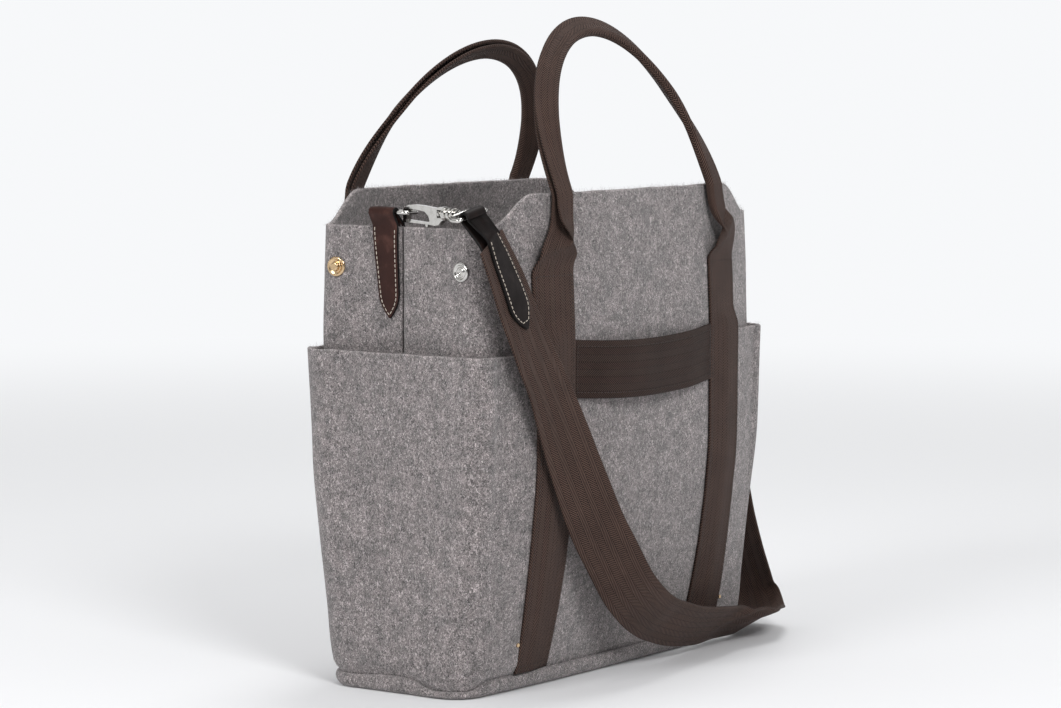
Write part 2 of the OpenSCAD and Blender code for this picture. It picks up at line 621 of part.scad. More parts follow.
module snap_backs() {
    color(NICKEL) for (end = [-1, 1]) for (side = [-1, 1])
        on_end(end, side, -felt_t - 2.2) rotate_extrude($fn = 48)
            polygon([[0, 0], [3.8, 0.2], [snap_r - 1.2, 0.7], [snap_r - 1.2, 1.2], [0, 1.2]]);
}
module strap_tacks() {
    color(BRASS) for (mx = [0, 1]) for (my = [0, 1]) mirror([mx, 0, 0]) mirror([0, my, 0]) {
        x = strap_half_gap + web_w + 1.9;
        p = on_face(x, TACK_Z, 2 * CLEAR + felt_t + 0.1);
        n = plan_normal(face_u(x, TACK_Z), TACK_Z);
        translate(p) rotate([0, 90, atan2(n.y, n.x)]) cylinder(r = 1.3, h = 1.8, $fn = 24);
    }
}

base_tray();
body_front_half();
body_rear_half();
left_end_pocket();
right_end_pocket();
front_left_strap();
front_right_strap();
rear_left_strap();
rear_right_strap();
front_band();
front_handle();
rear_handle();
left_tab();
right_tab();
left_ring();
right_ring();
left_clasp_hook();
left_clasp_gate();
left_clasp_pin();
left_clasp_spring();
left_clasp_eye();
right_clasp_hook();
right_clasp_gate();
right_clasp_pin();
right_clasp_spring();
right_clasp_eye();
left_strap_end();
right_strap_end();
shoulder_strap();
snap_sockets();
snap_studs();
snap_backs();
strap_tacks();
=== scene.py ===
"""A felt knitting bag with webbing handles, leather tabs and a clip-on shoulder strap.

Shapes are worked out in millimetres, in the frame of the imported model: X along the wide faces,
the front towards -Y, Z up. Meshes are made in metres.
"""
import json
import math
import random

import bpy
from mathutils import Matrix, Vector, noise


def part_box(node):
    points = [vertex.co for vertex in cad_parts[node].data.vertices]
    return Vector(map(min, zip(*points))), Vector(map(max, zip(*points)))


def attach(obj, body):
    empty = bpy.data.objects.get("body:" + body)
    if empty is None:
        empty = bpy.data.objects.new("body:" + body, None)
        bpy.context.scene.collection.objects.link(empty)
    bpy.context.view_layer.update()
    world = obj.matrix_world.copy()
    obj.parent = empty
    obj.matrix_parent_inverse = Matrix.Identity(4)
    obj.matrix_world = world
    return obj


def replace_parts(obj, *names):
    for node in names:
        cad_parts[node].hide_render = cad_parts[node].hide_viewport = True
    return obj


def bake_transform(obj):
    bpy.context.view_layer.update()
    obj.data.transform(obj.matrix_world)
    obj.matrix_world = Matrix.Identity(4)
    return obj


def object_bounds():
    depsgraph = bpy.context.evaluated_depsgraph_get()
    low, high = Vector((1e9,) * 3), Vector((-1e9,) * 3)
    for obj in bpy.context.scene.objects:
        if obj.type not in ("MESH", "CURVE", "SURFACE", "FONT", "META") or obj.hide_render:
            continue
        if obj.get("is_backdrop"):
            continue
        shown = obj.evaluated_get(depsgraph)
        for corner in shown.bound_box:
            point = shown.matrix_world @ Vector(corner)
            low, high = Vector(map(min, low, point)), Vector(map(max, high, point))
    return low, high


MM = 0.001
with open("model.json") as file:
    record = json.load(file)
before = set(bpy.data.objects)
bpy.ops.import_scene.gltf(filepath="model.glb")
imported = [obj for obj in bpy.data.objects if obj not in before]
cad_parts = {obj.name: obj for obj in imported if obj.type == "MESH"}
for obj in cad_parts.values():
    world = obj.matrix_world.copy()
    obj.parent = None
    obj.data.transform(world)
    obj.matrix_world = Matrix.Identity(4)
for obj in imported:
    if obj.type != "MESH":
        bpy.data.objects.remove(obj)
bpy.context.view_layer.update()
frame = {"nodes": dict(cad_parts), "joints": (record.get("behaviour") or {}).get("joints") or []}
JOINTS = {j["name"]: j for j in frame["joints"]}


def low(node):
    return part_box(node)[0] / MM


def high(node):
    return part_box(node)[1] / MM


# ---- camera ----
AZIMUTH, ELEVATION = -54.7, 5.12
TARGET = Vector((-0.0036, 0.0081, 0.206))
DISTANCE = 2.356
LENS = 118.35


def add_camera():
    a, e = math.radians(AZIMUTH), math.radians(ELEVATION)
    back = Vector((math.sin(a) * math.cos(e), -math.cos(a) * math.cos(e), math.sin(e)))
    camera = bpy.data.objects.new("camera", bpy.data.cameras.new("camera"))
    bpy.context.scene.collection.objects.link(camera)
    camera.location = TARGET + back * DISTANCE
    camera.rotation_mode = "QUATERNION"
    camera.rotation_quaternion = back.to_track_quat("Z", "Y")
    camera.data.lens = LENS
    camera.data.sensor_width = 36
    bpy.context.scene.camera = camera


add_camera()


# ---- small maths ----
def mix(a, b, k):
    return a + (b - a) * k


def smooth(k):
    c = min(max(k, 0.0), 1.0)
    return c * c * (3 - 2 * c)


def steps(n, a, b):
    return [mix(a, b, i / n) for i in range(n + 1)]


def wobble(p, size, seed=0):
    """Smooth noise from -1 to 1 at a point in mm, with lumps of that size."""
    return noise.noise(Vector(p) / size + Vector((seed * 17.3, seed * 5.1, -seed * 9.7)))


# ---- materials ----
def new_material(name, colour, roughness, metallic=0.0):
    m = bpy.data.materials.new(name)
    m.use_nodes = True
    shader = m.node_tree.nodes["Principled BSDF"]
    shader.inputs["Base Color"].default_value = (*colour, 1)
    shader.inputs["Roughness"].default_value = roughness
    shader.inputs["Metallic"].default_value = metallic
    return m, shader


def node(m, kind, **values):
    n = m.node_tree.nodes.new(kind)
    for key, value in values.items():
        if hasattr(n, key):
            setattr(n, key, value)
        else:
            n.inputs[key.replace("_", " ")].default_value = value
    return n


def join(m, a, b, out=0, into=0):
    m.node_tree.links.new(a.outputs[out], b.inputs[into])
    return b


def noise_of(m, coords, scale, detail=2.0, roughness=0.5, distortion=0.0):
    n = node(m, "ShaderNodeTexNoise", Scale=scale, Detail=detail, Roughness=roughness,
             Distortion=distortion)
    m.node_tree.links.new(coords, n.inputs["Vector"])
    return n


def ramp(m, source, stops):
    r = node(m, "ShaderNodeValToRGB")
    ends = r.color_ramp.elements
    while len(ends) < len(stops):
        ends.new(0.5)
    for e, (at, colour) in zip(ends, stops):
        e.position = at
        e.color = (*colour, 1) if len(colour) == 3 else colour
    m.node_tree.links.new(source, r.inputs["Fac"])
    return r


def blend_colours(m, factor, a, b, kind="MIX"):
    n = node(m, "ShaderNodeMix", data_type="RGBA", blend_type=kind)
    for value, socket in ((factor, n.inputs[0]), (a, n.inputs[6]), (b, n.inputs[7])):
        if isinstance(value, (int, float)):
            socket.default_value = value
        elif isinstance(value, tuple):
            socket.default_value = (*value, 1)
        else:
            m.node_tree.links.new(value, socket)
    return n.outputs[2]


def bump(m, shader, height, strength, distance):
    b = node(m, "ShaderNodeBump", Strength=strength, Distance=distance)
    m.node_tree.links.new(height, b.inputs["Height"])
    m.node_tree.links.new(b.outputs["Normal"], shader.inputs["Normal"])


def object_coords(m):
    return node(m, "ShaderNodeTexCoord").outputs["Object"]


def grey(v, warm=0.0):
    """A grey; warm moves it towards the pinkish tone of undyed wool."""
    return (v * (1 + warm), v * (1 - 0.5 * warm), v * (1 - 0.6 * warm))


def make_felt(name="felt", lift=1.0):
    """Mottled wool felt: fine light and dark fibres over a slow warm and cool mottle. lift brightens it,
    for a painted-light copy.
    """
    m, shader = new_material(name, (0.22, 0.20, 0.185), 0.96)
    shader.inputs["Sheen Weight"].default_value = 0.25
    shader.inputs["Sheen Roughness"].default_value = 0.6
    shader.inputs["Specular IOR Level"].default_value = 0.15
    at = object_coords(m)
    stretch = node(m, "ShaderNodeMapping")
    stretch.inputs["Scale"].default_value = (1.0, 1.0, 0.7)
    stretch.inputs["Rotation"].default_value = (0.5, 0.4, 0.6)
    m.node_tree.links.new(at, stretch.inputs["Vector"])
    fibre = noise_of(m, stretch.outputs[0], 820, 4, 0.66, 1.6)
    tones = ramp(m, fibre.outputs["Fac"], [
        (0.28, grey(0.018 * lift, 0.05)), (0.43, grey(0.090 * lift, 0.055)),
        (0.56, grey(0.235 * lift, 0.055)), (0.71, grey(0.64 * lift, 0.05))])
    cross = noise_of(m, at, 900, 2, 0.6, 2.2)
    hairs = ramp(m, cross.outputs["Fac"], [(0.60, (0, 0, 0)), (0.72, (1, 1, 1))])
    lit = blend_colours(m, hairs.outputs["Color"], tones.outputs["Color"],
                        grey(0.44 * lift, 0.06))
    patches = noise_of(m, at, 130, 3, 0.6)
    patch_tone = ramp(m, patches.outputs["Fac"], [(0.3, grey(0.72)), (0.7, grey(1.25, 0.03))])
    mottled = blend_colours(m, 1.0, lit, patch_tone.outputs["Color"], "MULTIPLY")
    slow = noise_of(m, at, 14, 2, 0.5)
    slow_tone = ramp(m, slow.outputs["Fac"], [(0.3, grey(0.95)), (0.7, grey(1.05))])
    m.node_tree.links.new(
        blend_colours(m, 1.0, mottled, slow_tone.outputs["Color"], "MULTIPLY"),
        shader.inputs["Base Color"])
    bump(m, shader, fibre.outputs["Fac"], 0.55, 0.0011)
    return m


def make_webbing(name, dark, light):
    """Herringbone webbing: slanted ribs that turn at each column, drawn across its UVs in mm. Its colour
    carries painted shade in the rib valleys and painted highlight on the rib tops.
    """
    m, shader = new_material(name, light, 0.7)
    shader.inputs["Specular IOR Level"].default_value = 0.16
    shader.inputs["Sheen Weight"].default_value = 0.03
    uv = node(m, "ShaderNodeUVMap", uv_map="weave")
    split = node(m, "ShaderNodeSeparateXYZ")
    join(m, uv, split)
    column = node(m, "ShaderNodeMath", operation="PINGPONG")
    column.inputs[1].default_value = COLUMN_W
    join(m, split, column, 0, 0)
    slant = node(m, "ShaderNodeMath", operation="MULTIPLY_ADD")
    slant.inputs[1].default_value = 1.25
    join(m, column, slant, 0, 0)
    join(m, split, slant, 1, 2)
    phase = node(m, "ShaderNodeMath", operation="MULTIPLY")
    phase.inputs[1].default_value = math.tau / RIB_PITCH
    join(m, slant, phase)
    rib = node(m, "ShaderNodeMath", operation="SINE")
    join(m, phase, rib)
    height = node(m, "ShaderNodeMapRange")
    height.inputs["From Min"].default_value = -1
    join(m, rib, height)
    # a thin valley where the ribs turn, lower in the bump and painted darker as shade
    turn = node(m, "ShaderNodeMath", operation="PINGPONG")
    turn.inputs[1].default_value = COLUMN_W / 2
    join(m, split, turn, 0, 0)
    edge = node(m, "ShaderNodeMapRange")
    edge.inputs["From Max"].default_value = 0.5
    edge.inputs["To Min"].default_value = 0.6
    join(m, turn, edge)
    shape = node(m, "ShaderNodeMath", operation="MULTIPLY")
    join(m, height, shape, 0, 0)
    join(m, edge, shape, 0, 1)
    at = object_coords(m)
    yarn = noise_of(m, at, 1500, 3, 0.6)
    mottle = noise_of(m, at, 60, 3, 0.5)
    # colour from rib height: painted shade in the valleys, painted highlight on the rib tops
    base = ramp(m, shape.outputs[0], [(0.05, dark), (0.5, mix_rgb(dark, light, 0.45)),
                                      (1.0, light)])
    spun = ramp(m, yarn.outputs["Fac"], [(0.3, grey(0.72)), (0.7, grey(1.25))])
    faded = ramp(m, mottle.outputs["Fac"], [(0.3, grey(0.88)), (0.7, grey(1.12))])
    colour = blend_colours(m, 1.0, base.outputs["Color"], spun.outputs["Color"], "MULTIPLY")
    colour = blend_colours(m, 1.0, colour, faded.outputs["Color"], "MULTIPLY")
    m.node_tree.links.new(colour, shader.inputs["Base Color"])
    bump(m, shader, shape.outputs[0], 0.8, 0.0005)
    return m


def mix_rgb(a, b, k):
    return tuple(mix(x, y, k) for x, y in zip(a, b))


def make_leather(name, colour, worn, roughness):
    """Smooth pull-up leather: a fine pebble, soft tone changes and pores."""
    m, shader = new_material(name, colour, roughness)
    shader.inputs["Specular IOR Level"].default_value = 0.14
    at = object_coords(m)
    cloud = noise_of(m, at, 90, 4, 0.55)
    tone = ramp(m, cloud.outputs["Fac"], [(0.3, mix_rgb(colour, (0, 0, 0), 0.3)), (0.55, colour),
                                          (0.78, worn)])
    m.node_tree.links.new(tone.outputs["Color"], shader.inputs["Base Color"])
    rough = ramp(m, cloud.outputs["Fac"], [(0.3, grey(roughness + 0.1)),
                                           (0.7, grey(roughness - 0.08))])
    m.node_tree.links.new(rough.outputs["Color"], shader.inputs["Roughness"])
    pebble = node(m, "ShaderNodeTexVoronoi", feature="SMOOTH_F1", Scale=1300.0)
    m.node_tree.links.new(at, pebble.inputs["Vector"])
    bump(m, shader, pebble.outputs["Distance"], 0.22, 0.0003)
    return m


def make_metal(name, colour, roughness):
    """Plated metal with faint polishing marks."""
    m, shader = new_material(name, colour, roughness, 1.0)
    at = object_coords(m)
    marks = noise_of(m, at, 900, 3, 0.6)
    gloss = ramp(m, marks.outputs["Fac"], [(0.35, grey(roughness * 0.7)),
                                           (0.7, grey(roughness * 1.6))])
    m.node_tree.links.new(gloss.outputs["Color"], shader.inputs["Roughness"])
    tone = noise_of(m, at, 300, 2, 0.5)
    tint = ramp(m, tone.outputs["Fac"], [(0.3, mix_rgb(colour, (0, 0, 0), 0.12)), (0.6, colour)])
    m.node_tree.links.new(tint.outputs["Color"], shader.inputs["Base Color"])
    bump(m, shader, marks.outputs["Fac"], 0.05, 0.0001)
    return m


def make_thread(name, dark, light):
    """Twisted thread with painted shade: darker in its grooves."""
    m, shader = new_material(name, light, 0.7)
    at = object_coords(m)
    twist = noise_of(m, at, 2600, 2, 0.5)
    tone = ramp(m, twist.outputs["Fac"], [(0.35, dark), (0.6, light)])
    m.node_tree.links.new(tone.outputs["Color"], shader.inputs["Base Color"])
    bump(m, shader, twist.outputs["Fac"], 0.4, 0.0002)
    return m


WEB_W, WEB_T = 38.0, 2.0
COLUMN_W = WEB_W / 8
RIB_PITCH = 1.9
FELT = make_felt()
# the cut rims and loose fibres take a lighter copy of the felt: painted light where the edges catch the
# lamps
LIT_FELT_EDGE = make_felt("felt_edge", 1.35)
WEBBING = make_webbing("webbing", (0.008, 0.004, 0.003), (0.118, 0.071, 0.056))
# the band takes a darker copy of the webbing: painted shade
SHADED_BAND_WEBBING = make_webbing("webbing_band", (0.005, 0.003, 0.002), (0.066, 0.037, 0.029))
LEATHER_TAB = make_leather("leather_tab", (0.034, 0.013, 0.010), (0.078, 0.034, 0.026), 0.42)
LEATHER_DARK = make_leather("leather_dark", (0.009, 0.0055, 0.005), (0.022, 0.013, 0.011), 0.45)
LEATHER_EDGE = make_leather("leather_edge", (0.006, 0.005, 0.005), (0.015, 0.012, 0.011), 0.5)
NICKEL = make_metal("nickel", (0.60, 0.585, 0.56), 0.15)
BRASS = make_metal("brass", (0.62, 0.45, 0.27), 0.2)
CREAM = make_thread("thread_cream", (0.30, 0.25, 0.20), (0.66, 0.60, 0.52))
BROWN = make_thread("thread_brown", (0.012, 0.008, 0.007), (0.05, 0.034, 0.029))


# ---- mesh building ----
def signed_volume(mesh):
    """The volume that the mesh encloses, negative where its faces look inwards."""
    mesh.calc_loop_triangles()
    total = 0.0
    for triangle in mesh.loop_triangles:
        first, second, third = (mesh.vertices[i].co for i in triangle.vertices)
        total += first.dot(second.cross(third))
    return total / 6


def make_object(name, points, faces, material, edge_material=None, edge_faces=(), uvs=None):
    """A smooth mesh from points in mm. uvs holds one (across, along) in mm for each point."""
    mesh = bpy.data.meshes.new(name)
    mesh.from_pydata([(x * MM, y * MM, z * MM) for x, y, z in points], [], faces)
    mesh.validate()
    mesh.materials.append(material)
    mesh.polygons.foreach_set("use_smooth", [True] * len(mesh.polygons))
    if edge_material:
        mesh.materials.append(edge_material)
        for f in edge_faces:
            mesh.polygons[f].material_index = 1
    if uvs:
        layer = mesh.uv_layers.new(name="weave")
        for loop in mesh.loops:
            layer.data[loop.index].uv = uvs[loop.vertex_index]
    mesh.update()
    # the faces of every piece look outwards, whichever way its rings ran
    if signed_volume(mesh) < 0:
        mesh.flip_normals()
    piece = bpy.data.objects.new(name, mesh)
    bpy.context.scene.collection.objects.link(piece)
    return piece


def loft(rings, closed_ends=True):
    """Faces between equal closed rings of point numbers, with ladder caps at both ends."""
    n = len(rings[0])
    faces = []
    for a, b in zip(rings, rings[1:]):
        for i in range(n):
            k = (i + 1) % n
            faces.append((a[i], a[k], b[k], b[i]))
    if closed_ends:
        for ring, flip in ((rings[0], True), (rings[-1], False)):
            for i in range(n // 2 - 1):
                quad = (ring[i], ring[i + 1], ring[n - 2 - i], ring[n - 1 - i])
                faces.append(quad[::-1] if flip else quad)
    return faces


def strip_profile(width, thick, n, edge):
    """A closed outline (across, height) of a strap with rounded edges, from -width/2 over the top."""
    half = width / 2
    top = [(x, thick / 2) for x in steps(n, -half + edge, half - edge)]
    turn = [(half - edge + edge * math.sin(a), thick / 2 * math.cos(a))
            for a in (0.8, math.pi / 2, math.pi - 0.8)]
    bottom = [(x, -h) for x, h in reversed(top)]
    back = [(-x, -h) for x, h in turn]
    return top + turn + bottom + back


def ribbon(name, params, place, profile, material, edge_material=None, edge_points=()):
    """A strap: place(param, across, height) puts each point of the profile at each station."""
    points, uvs, rings = [], [], []
    along, last = 0.0, None
    for p in params:
        centre = Vector(place(p, 0, 0))
        along += (centre - last).length if last is not None else 0
        last = centre
        rings.append(list(range(len(points), len(points) + len(profile))))
        for q, h in profile:
            points.append(tuple(place(p, q, h)))
            uvs.append((q + WEB_W / 2, along))
    faces = loft(rings)
    n = len(profile)
    edges = [j * n + i for j in range(len(params) - 1) for i in edge_points]
    edges += range((len(params) - 1) * n, len(faces))
    return make_object(name, points, faces, material, edge_material,
                       edges if edge_material else (), uvs)


def stitches(name, lines, material, length=2.6, pitch=3.6, radius=0.36):
    """Rows of short threads. Each line is a list of (point, outward normal) in mm."""
    points, faces = [], []
    sides = 6
    for line in lines:
        spots = [Vector(p) for p, _ in line]
        outs = [Vector(n) for _, n in line]
        run = [0.0]
        for a, b in zip(spots, spots[1:]):
            run.append(run[-1] + (b - a).length)

        def at(distance):
            i = 0
            while i < len(run) - 2 and run[i + 1] < distance:
                i += 1
            k = min(max((distance - run[i]) / max(run[i + 1] - run[i], 1e-6), 0), 1)
            return spots[i].lerp(spots[i + 1], k), outs[i].lerp(outs[i + 1], k).normalized()

        start = pitch * 0.4
        while start + length < run[-1]:
            first = len(points)
            for share, size, lift in ((0, 0.45, -0.25), (0.22, 1, 0.05), (0.78, 1, 0.05),
                                      (1, 0.45, -0.25)):
                p, out = at(start + length * share)
                ahead = at(start + length * share + 0.3)[0] - p
                ahead = ahead.normalized() if ahead.length > 1e-4 else Vector((0, 0, 1))
                side = ahead.cross(out).normalized()
                for i in range(sides):
                    a = math.tau * i / sides
                    points.append(tuple(p + out * (radius * lift * 2)
                                        + (side * math.cos(a) + out * math.sin(a)) * radius * size))
            rings = [list(range(first + sides * j, first + sides * (j + 1))) for j in range(4)]
            faces += loft(rings)
            start += pitch
    return make_object(name, points, faces, material)


def fibres(name, roots, material, length, radius, seed):
    """Loose wool hairs: bent tapering threads that stand from (point, outward normal) roots."""
    rng = random.Random(seed)
    points, faces = [], []
    for p, out in roots:
        p, out = Vector(p), Vector(out).normalized()
        aim = Vector([rng.uniform(-1, 1) for _ in range(3)])
        aim = (out * 1.1 + aim).normalized()
        bend = Vector([rng.uniform(-1, 1) for _ in range(3)]) * 0.5
        long = length * rng.uniform(0.4, 1.2)
        first = len(points)
        for k in range(4):
            t = k / 3
            centre = p + aim * (long * t) + bend * (long * t * t)
            side = aim.orthogonal().normalized()
            other = aim.cross(side)
            for i in range(3):
                a = math.tau * i / 3
                points.append(tuple(centre + (side * math.cos(a) + other * math.sin(a))
                                    * radius * (1 - 0.8 * t)))
        for k in range(3):
            for i in range(3):
                a, b = first + 3 * k + i, first + 3 * k + (i + 1) % 3
                faces.append((a, b, b + 3, a + 3))
        faces += [(first + 2, first + 1, first), (first + 9, first + 10, first + 11)]
    return make_object(name, points, faces, material)


# ---- the body's outline at a height, in mm ----
# u runs along the front half: 0 is mid face, 1 the corner's start, 2 its end, 3 the end seam
FELT_T = 3.0
CLEAR = 0.3
BASE_LEN, RIM_LEN, END_DISH = 162.0, 161.0, 4.0
BELLY = -low("body_front_half").y
BASE_TUCK, RIM_TUCK = 27.0, 4.0
FACE_H = high("body_front_half").z
END_H = 299.0
BASE_H = high("base_tray").z
BASE_OUT = 6.0
POCKET_H = high("left_end_pocket").z


def half_len(z):
    return mix(BASE_LEN, RIM_LEN, smooth(z / 200))


def corner_r(z):
    return mix(18, 10, smooth(z / 120))


def mid_depth(z):
    return (BELLY - BASE_TUCK * max(0, 1 - z / 150) ** 1.6
            - RIM_TUCK * max(0, (z - 220) / 100) ** 1.5)


def plan(u, z):
    s, u = (-1 if u < 0 else 1), abs(u)
    r = corner_r(z)
    run = half_len(z) - r
    drop = mix(4, 15, smooth(z / 120))
    start_y = mid_depth(z) - drop
    corner_y = start_y - 3 * drop / run * r
    end_y = corner_y - r
    if u <= 1:
        return s * run * u, -(mid_depth(z) - drop * u ** 3)
    if u <= 2:
        k = u - 1
        a, b, c = (1 - k) ** 2, 2 * k * (1 - k), k * k
        return (s * (a * run + b * (run + r) + c * (run + r)),
                -(a * start_y + b * corner_y + c * end_y))
    e = u - 2
    dish = END_DISH * smooth(z / 160)
    return s * (run + r - dish * (1 - (1 - e) ** 2)), -end_y * (1 - e)


def plan_normal(u, z):
    a, b = plan(u - 0.01, z), plan(u + 0.01, z)
    t = Vector((b[0] - a[0], b[1] - a[1])).normalized()
    return t.y, -t.x


def skin(u, z, out):
    p, n = plan(u, z), plan_normal(u, z)
    return Vector((p[0] + out * n[0], p[1] + out * n[1], z))


def face_u(x, z):
    return x / (half_len(z) - corner_r(z))


def on_face(x, z, out):
    return skin(face_u(x, z), z, out)


def rim_z(u):
    x = abs(plan(u, 310)[0])
    return mix(END_H, FACE_H, smooth((153 - x) / 40))


def soft_wave(p):
    """Slow unevenness of hand-made felt panels, in upright folds rather than lumps."""
    x, y, z = p
    return 1.5 * wobble((x, y, z * 0.4), 62, 1) + 0.35 * wobble(p, 22, 2)


# ---- felt ----
BODY_HALF_US = steps(40, 0, 1)[1:] + steps(16, 1, 2)[1:] + steps(14, 2, 2.93)[1:] + [
    2.955, 2.975, 2.99, 3.0]
BODY_US = [-u for u in reversed(BODY_HALF_US)] + [0.0] + BODY_HALF_US
BODY_ROWS = 84
RIM_ROUND = 1.0
SEAM_HALF, SEAM_GAP = 1.6, 0.9


def wall_profile(rows):
    """Steps up the outer face, over the cut edge and down the inner face: (height share, turn)."""
    up = [(k, 0.0) for k in steps(rows, 0, 1)]
    over = [(1.0, a) for a in (0.18, 0.36, 0.5, 0.64, 0.82)]
    return up + over + [(k, 1.0) for k in steps(rows, 1, 0)]


def wall_spot(bottom, top, share, turn):
    """Height and depth through the felt of a place on a wall profile."""
    z = mix(bottom, top - RIM_ROUND, share)
    a = math.pi * turn
    depth = FELT_T / 2 * (1 - math.cos(a))
    return z + RIM_ROUND * math.sin(a), depth


def felt_half(name, side):
    """side is 1 for the front half and -1 for the rear one."""
    profile = wall_profile(BODY_ROWS)
    points, rings = [], []
    for u in BODY_US:
        top = rim_z(u) + 0.5 * wobble((u * 100, side * 50, 0), 14, 3)
        seam = math.exp(-((3 - abs(u)) * 55 / SEAM_HALF) ** 2)
        rings.append(list(range(len(points), len(points) + len(profile))))
        for share, turn in profile:
            z, depth = wall_spot(FELT_T + CLEAR, top, share, turn)
            groove = seam * (1.5 if turn < 0.5 else -0.9)
            p = skin(u, z, -depth - groove)
            n = plan_normal(u, z)
            swell = soft_wave((p.x, p.y * side, z)) * smooth((z - 12) / 60)
            p += Vector((n[0], n[1], 0)) * swell * smooth((3 - abs(u)) / 0.4)
            apart = SEAM_GAP if depth < FELT_T / 2 else 0.06
            points.append((p.x, side * min(p.y, -apart), z))
    faces = loft(rings)
    if side > 0:
        faces = [f[::-1] for f in faces]
    n = len(profile)
    rim = [j * n + i for j in range(len(BODY_US) - 1) for i in range(BODY_ROWS, BODY_ROWS + 6)]
    piece = make_object(name, points, faces, FELT, LIT_FELT_EDGE, rim)
    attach(piece, "root")
    return piece


def roll_top(u, side):
    """Height of the roll's top edge: the pocket's felt presses it down at the front corners."""
    dip = smooth((u - 0.9) / 0.5) * smooth((2.75 - u) / 0.7)
    return BASE_H - (6.2 * dip if side > 0 else 2.0 * dip) + 0.35 * wobble((u * 60, side * 30, 0), 20, 4)


# how far in from the outline the base's flat rings lie, below and above
UNDER_INSETS, OVER_INSETS = (110, 60, 25, 8), (-1.5, 8, 25, 60, 110)


def felt_base():
    half = BODY_US[:-1]
    stations = [(u, 1) for u in half] + [(-u, -1) for u in half]
    turns = steps(10, -0.5, 0.62)
    points, rings = [], []
    for inset in UNDER_INSETS:
        rings.append(("floor", inset, 0.0))
    for t in turns:
        rings.append(("roll", t, 0.0))
    for inset in OVER_INSETS:
        rings.append(("floor", inset, FELT_T))
    numbers = []
    for kind, value, height in rings:
        numbers.append(list(range(len(points), len(points) + len(stations))))
        for u, side in stations:
            if kind == "floor":
                edge = skin(u, 0, 0)
                k = 1 - value / 170
                points.append((edge.x * k, side * min(edge.y, 0) * k, height))
            else:
                top = roll_top(abs(u), side)
                a = math.pi * value
                z = top / 2 + top / 2 * math.sin(a)
                out = BASE_OUT - 3.6 + 3.6 * math.cos(a)
                p = skin(u, max(z, 0), out + 0.35 * wobble((u * 80, side * 20, value), 18, 5))
                points.append((p.x, side * min(p.y, 0), max(p.z, 0)))
    faces = []
    n = len(stations)
    for a, b in zip(numbers, numbers[1:]):
        for i in range(n):
            k = (i + 1) % n
            faces.append((a[i], b[i], b[k], a[k]))
    for ring, flip in ((numbers[0], False), (numbers[-1], True)):
        centre = len(points)
        points.append((0, 0, points[ring[0]][2]))
        for i in range(n):
            f = (centre, ring[i], ring[(i + 1) % n])
            faces.append(f[::-1] if flip else f)
    piece = make_object("felt_base", points, faces, FELT)
    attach(piece, "root")
    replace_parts(piece, "base_tray")
    return piece


POCKET_EDGE_X = 106.5
POCKET_ROWS = 62
STRAP_HALF_GAP = 80.6
CORNER_GAP, MIDDLE_GAP = 6.0, 10.0


def pocket_gap(u, z):
    strap_u = face_u(STRAP_HALF_GAP + WEB_W + 3, z)
    off_strap = smooth((u - strap_u) / (1.3 - strap_u))
    to_middle = smooth(u - 2)
    flare = (max(z, 0) / POCKET_H) ** 1.5
    return CLEAR + flare * (CORNER_GAP * off_strap + (MIDDLE_GAP - CORNER_GAP) * to_middle)


def pocket_us(z):
    """Places along the outline at this height, from a pocket's edge to the middle of the end."""
    first = face_u(POCKET_EDGE_X, z)
    return steps(8, first, 1) + steps(22, 1, 2)[1:] + steps(18, 2, 3)[1:]


def felt_pocket(name, end):
    """end is -1 for the left end and 1 for the right one."""
    count = len(pocket_us(0))
    profile = wall_profile(POCKET_ROWS)
    points, rings = [], []
    for i in range(2 * count - 1):
        j = i if i < count else 2 * count - 2 - i
        side = 1 if i < count else -1
        rings.append(list(range(len(points), len(points) + len(profile))))
        for share, turn in profile:
            u0 = pocket_us(100)[j]
            bottom = roll_top(u0, side) - 0.6
            top = POCKET_H + 0.6 * wobble((i * 9, end * 40, 0), 30, 6)
            z, depth = wall_spot(bottom, top, share, turn)
            u = pocket_us(z)[j]
            low_edge = max(0, 1 - (z - bottom) / 9)
            out = pocket_gap(u, z) + FELT_T - depth + 2.3 * smooth(1 - (z - bottom) / 45)
            out -= 4.2 * low_edge ** 2.6 * (1 if turn < 0.5 else 0)
            p = skin(u, z, max(out, CLEAR))
            n = plan_normal(u, z)
            free = smooth((z - bottom) / 30) * smooth((u - 0.9) / 0.5)
            p += Vector((n[0], n[1], 0)) * (1 + wobble((p.x, p.y * side, z * 0.7), 60, 7)) * free
            points.append((end * p.x, side * p.y, p.z))
    faces = loft(rings)
    if end < 0:
        faces = [f[::-1] for f in faces]
    n = len(profile)
    rim = [j * n + i for j in range(2 * count - 2) for i in range(POCKET_ROWS, POCKET_ROWS + 6)]
    piece = make_object(name, points, faces, FELT, LIT_FELT_EDGE, rim)
    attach(piece, "root")
    return piece


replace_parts(felt_half("felt_front", 1), "body_front_half")
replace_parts(felt_half("felt_rear", -1), "body_rear_half")
felt_base()
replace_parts(felt_pocket("felt_pocket_left", -1), "left_end_pocket")
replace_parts(felt_pocket("felt_pocket_right", 1), "right_end_pocket")

# ---- loose fibres on the cut edges ----
BODY_FIBRES, POCKET_FIBRES = 1500, 420


def outline_u(share):
    """The place on the outline that lies this share of the way from mid face to the end seam."""
    face, corner, end = 150.0, 16.0, 70.0
    run = share * (face + corner + end)
    if run < face:
        return run / face
    return 1 + (run - face) / corner if run < face + corner else 2 + (run - face - corner) / end


